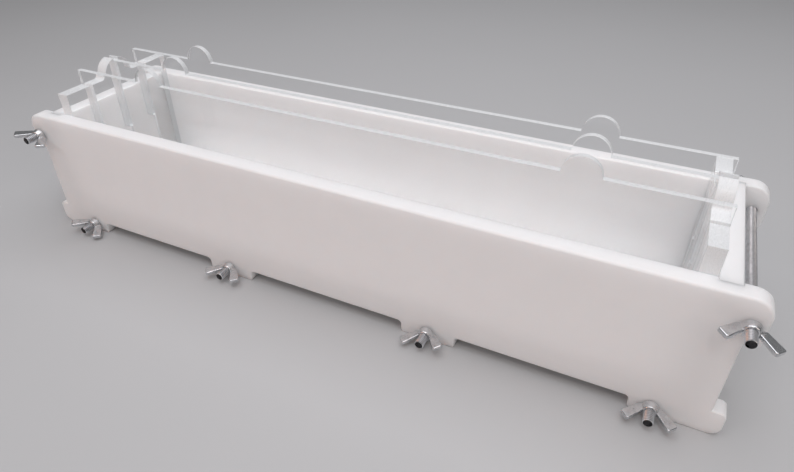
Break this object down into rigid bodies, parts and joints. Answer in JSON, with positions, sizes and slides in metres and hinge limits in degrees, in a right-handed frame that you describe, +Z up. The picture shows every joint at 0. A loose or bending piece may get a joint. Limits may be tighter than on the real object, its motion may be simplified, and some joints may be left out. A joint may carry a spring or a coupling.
{
  "type": "soap loaf mould",
  "caption": "Long open-topped loaf mould of white plastic boards clamped by threaded rods and wing nuts, with a lift-out grid of clear dividers that makes long bars.",
  "frame": {"origin": "on the table under the middle of the mould", "axes": "+X along the loaf to the right, -Y out of the front wall, +Z up"},
  "size_m": [0.5574, 0.1636, 0.1435],
  "materials": {
    "white_hdpe": "satin milky white polyethylene",
    "clear_acrylic": "clear cast sheet with frosted cut edges",
    "wing_nut_zinc": "bright zinc plate",
    "threaded_rod_zinc": "zinc plated thread"
  },
  "bodies": {
    "mould": {"front_wall": "white_hdpe", "back_wall": "white_hdpe", "left_end_wall": "white_hdpe", "right_end_wall": "white_hdpe", "base_board": "white_hdpe", "rod_upper_left": "threaded_rod_zinc", "rod_lower_1": "threaded_rod_zinc", "rod_lower_2": "threaded_rod_zinc", "rod_lower_3": "threaded_rod_zinc", "rod_lower_4": "threaded_rod_zinc", "rod_upper_right": "threaded_rod_zinc"},
    "wing_nut_front_upper_left": {"wing_nut_front_upper_left": "wing_nut_zinc"},
    "wing_nut_front_lower_1": {"wing_nut_front_lower_1": "wing_nut_zinc"},
    "wing_nut_front_lower_2": {"wing_nut_front_lower_2": "wing_nut_zinc"},
    "wing_nut_front_lower_3": {"wing_nut_front_lower_3": "wing_nut_zinc"},
    "wing_nut_front_lower_4": {"wing_nut_front_lower_4": "wing_nut_zinc"},
    "wing_nut_front_upper_right": {"wing_nut_front_upper_right": "wing_nut_zinc"},
    "wing_nut_back_upper_left": {"wing_nut_back_upper_left": "wing_nut_zinc"},
    "wing_nut_back_lower_1": {"wing_nut_back_lower_1": "wing_nut_zinc"},
    "wing_nut_back_lower_2": {"wing_nut_back_lower_2": "wing_nut_zinc"},
    "wing_nut_back_lower_3": {"wing_nut_back_lower_3": "wing_nut_zinc"},
    "wing_nut_back_lower_4": {"wing_nut_back_lower_4": "wing_nut_zinc"},
    "wing_nut_back_upper_right": {"wing_nut_back_upper_right": "wing_nut_zinc"},
    "left_cross_panel": {"left_cross_panel": "clear_acrylic"},
    "right_cross_panel": {"right_cross_panel": "clear_acrylic"},
    "front_divider": {"front_divider": "clear_acrylic"},
    "middle_divider": {"middle_divider": "clear_acrylic"},
    "back_divider": {"back_divider": "clear_acrylic"}
  },
  "joints": [
    {"name": "front_upper_left_nut_turn", "type": "hinge", "parent": "mould", "child": "wing_nut_front_upper_left", "pos_m": [-0.263, -0.0665, 0.0857], "axis": [0, -1, 0], "continuous": true},
    {"name": "front_lower_1_nut_turn", "type": "hinge", "parent": "mould", "child": "wing_nut_front_lower_1", "pos_m": [-0.232, -0.0665, 0.0071], "axis": [0, -1, 0], "continuous": true},
    {"name": "front_lower_2_nut_turn", "type": "hinge", "parent": "mould", "child": "wing_nut_front_lower_2", "pos_m": [-0.0847, -0.0665, 0.0071], "axis": [0, -1, 0], "continuous": true},
    {"name": "front_lower_3_nut_turn", "type": "hinge", "parent": "mould", "child": "wing_nut_front_lower_3", "pos_m": [0.0847, -0.0665, 0.0071], "axis": [0, -1, 0], "continuous": true},
    {"name": "front_lower_4_nut_turn", "type": "hinge", "parent": "mould", "child": "wing_nut_front_lower_4", "pos_m": [0.232, -0.0665, 0.0071], "axis": [0, -1, 0], "continuous": true},
    {"name": "front_upper_right_nut_turn", "type": "hinge", "parent": "mould", "child": "wing_nut_front_upper_right", "pos_m": [0.263, -0.0665, 0.0857], "axis": [0, -1, 0], "continuous": true},
    {"name": "back_upper_left_nut_turn", "type": "hinge", "parent": "mould", "child": "wing_nut_back_upper_left", "pos_m": [-0.263, 0.0665, 0.0857], "axis": [0, 1, 0], "continuous": true},
    {"name": "back_lower_1_nut_turn", "type": "hinge", "parent": "mould", "child": "wing_nut_back_lower_1", "pos_m": [-0.232, 0.0665, 0.0071], "axis": [0, 1, 0], "continuous": true},
    {"name": "back_lower_2_nut_turn", "type": "hinge", "parent": "mould", "child": "wing_nut_back_lower_2", "pos_m": [-0.0847, 0.0665, 0.0071], "axis": [0, 1, 0], "continuous": true},
    {"name": "back_lower_3_nut_turn", "type": "hinge", "parent": "mould", "child": "wing_nut_back_lower_3", "pos_m": [0.0847, 0.0665, 0.0071], "axis": [0, 1, 0], "continuous": true},
    {"name": "back_lower_4_nut_turn", "type": "hinge", "parent": "mould", "child": "wing_nut_back_lower_4", "pos_m": [0.232, 0.0665, 0.0071], "axis": [0, 1, 0], "continuous": true},
    {"name": "back_upper_right_nut_turn", "type": "hinge", "parent": "mould", "child": "wing_nut_back_upper_right", "pos_m": [0.263, 0.0665, 0.0857], "axis": [0, 1, 0], "continuous": true},
    {"name": "left_cross_panel_lift", "type": "slide", "parent": "mould", "child": "left_cross_panel", "axis": [0, 0, 1], "range_m": [0, 0.12]},
    {"name": "right_cross_panel_lift", "type": "slide", "parent": "mould", "child": "right_cross_panel", "axis": [0, 0, 1], "range_m": [0, 0.12]},
    {"name": "front_divider_lift", "type": "slide", "parent": "left_cross_panel", "child": "front_divider", "axis": [0, 0, 1], "range_m": [0, 0.12]},
    {"name": "middle_divider_lift", "type": "slide", "parent": "left_cross_panel", "child": "middle_divider", "axis": [0, 0, 1], "range_m": [0, 0.12]},
    {"name": "back_divider_lift", "type": "slide", "parent": "left_cross_panel", "child": "back_divider", "axis": [0, 0, 1], "range_m": [0, 0.12]}
  ],
  "couplings": [
    {"joint": "right_cross_panel_lift", "follows": "left_cross_panel_lift", "ratio": 1}
  ]
}
